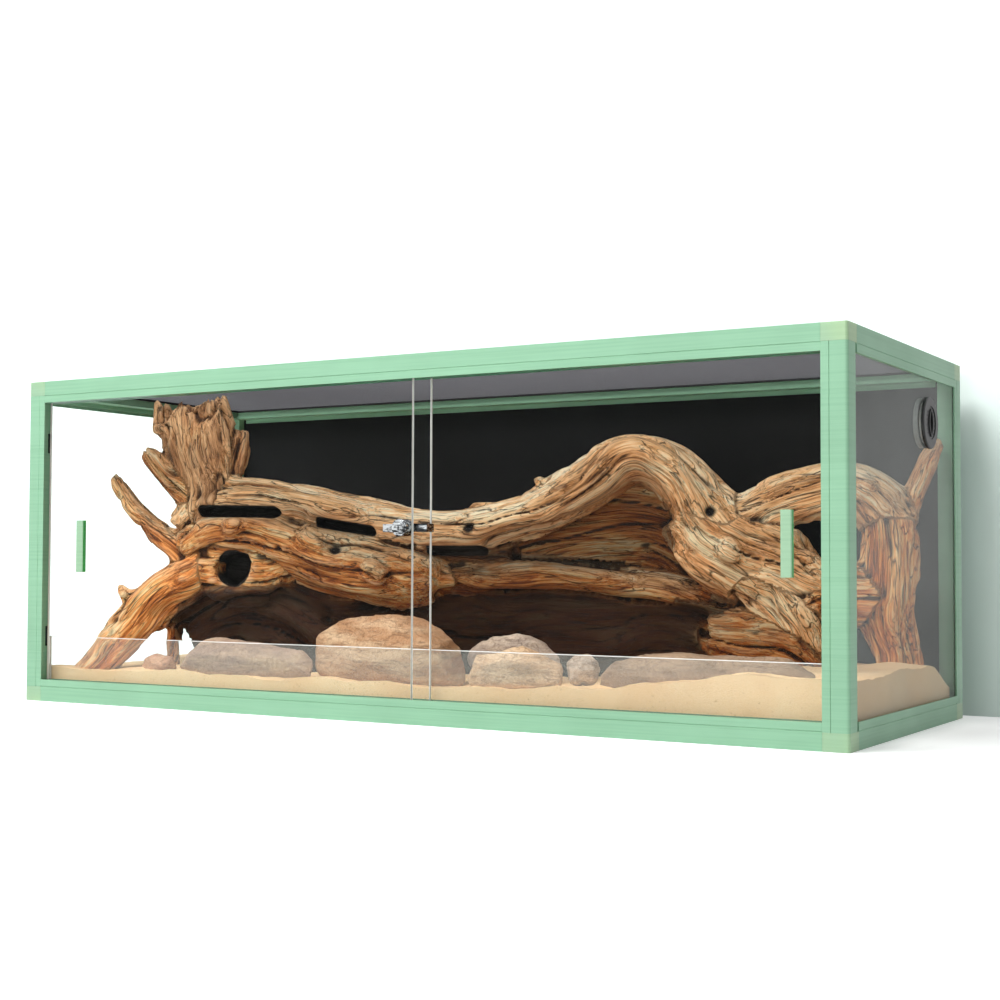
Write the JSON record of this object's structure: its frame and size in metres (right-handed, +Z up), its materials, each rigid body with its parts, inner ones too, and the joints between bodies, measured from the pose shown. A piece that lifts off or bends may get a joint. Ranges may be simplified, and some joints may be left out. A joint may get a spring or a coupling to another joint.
{
  "type": "reptile terrarium",
  "caption": "Front-opening glass terrarium in a mint green plastic frame, with sliding doors, lock, screen top, cable port, sand, stones and driftwood.",
  "frame": {"origin": "on the surface that the frame stands on, under the middle of the frame", "axes": "+X to the right as seen from the doors, +Y to the back panel, +Z up; the doors are on the -Y side"},
  "size_m": [1.2027, 0.4583, 0.45],
  "materials": {
    "rail_plastic": "satin mint green extrusion",
    "corner_plastic": "satin pale mint moulding",
    "side_glass": "clear float glass",
    "door_glass": "clear float glass with ground edges",
    "back_board": "matte black board",
    "floor_board": "matte black board",
    "track_plastic": "dark green extrusion",
    "bumper_rubber": "soft matte",
    "vent_plastic": "moulded black, satin",
    "vent_nut_plastic": "pale moulded",
    "sand": "fine dry desert sand",
    "driftwood": "weathered, deeply grained",
    "sandstone": "rough sandstone",
    "handle_plastic": "satin mint green",
    "pad_foam": "adhesive foam",
    "lock_chrome": "polished",
    "spacer_plastic": "black",
    "screen_paint": "matte black",
    "net_wire": "dark grey wire"
  },
  "bodies": {
    "root": {"corner_front_left_low": "corner_plastic", "corner_front_right_low": "corner_plastic", "corner_rear_left_low": "corner_plastic", "corner_rear_right_low": "corner_plastic", "corner_front_left_top": "corner_plastic", "corner_front_right_top": "corner_plastic", "corner_rear_left_top": "corner_plastic", "corner_rear_right_top": "corner_plastic", "rail_front_low": "rail_plastic", "rail_rear_low": "rail_plastic", "rail_left_low": "rail_plastic", "rail_right_low": "rail_plastic", "rail_front_top": "rail_plastic", "rail_rear_top": "rail_plastic", "rail_left_top": "rail_plastic", "rail_right_top": "rail_plastic", "post_front_left": "rail_plastic", "post_front_right": "rail_plastic", "post_rear_left": "rail_plastic", "post_rear_right": "rail_plastic", "left_pane": "side_glass", "right_pane": "side_glass", "back_panel": "back_board", "floor_panel": "floor_board", "glass_guard": "door_glass", "lower_track": "track_plastic", "upper_track": "track_plastic", "left_bumpers": "bumper_rubber", "right_bumpers": "bumper_rubber", "vent_flange": "vent_plastic", "vent_nut": "vent_nut_plastic", "sand_bed": "sand", "driftwood": "driftwood", "front_stones": "sandstone"},
    "left_door_group": {"left_door": "door_glass", "left_handle": "handle_plastic", "left_handle_pad": "pad_foam", "lock_bar": "lock_chrome", "lock_spacer": "spacer_plastic"},
    "right_door_group": {"right_door": "door_glass", "right_handle": "handle_plastic", "right_handle_pad": "pad_foam", "lock_barrel": "lock_chrome"},
    "lock_plug_group": {"lock_plug": "lock_chrome"},
    "vent_group": {"vent_insert": "vent_plastic"},
    "screen_group": {"screen_frame": "screen_paint", "screen_net": "net_wire"}
  },
  "joints": [
    {"name": "left_door_slide", "type": "slide", "parent": "root", "child": "left_door_group", "axis": [1, 0, 0], "range_m": [0, 0.508]},
    {"name": "right_door_slide", "type": "slide", "parent": "root", "child": "right_door_group", "axis": [-1, 0, 0], "range_m": [0, 0.598]},
    {"name": "lock_plug_turn", "type": "hinge", "parent": "right_door_group", "child": "lock_plug_group", "pos_m": [0.0405, -0.23, 0.238], "axis": [0, 1, 0], "range_deg": [0, 90]},
    {"name": "vent_turn", "type": "hinge", "parent": "root", "child": "vent_group", "pos_m": [0.595, 0.08, 0.366], "axis": [1, 0, 0], "range_deg": [0, 90]},
    {"name": "screen_lift", "type": "slide", "parent": "root", "child": "screen_group", "axis": [0, 0, 1], "range_m": [0, 0.25]}
  ]
}
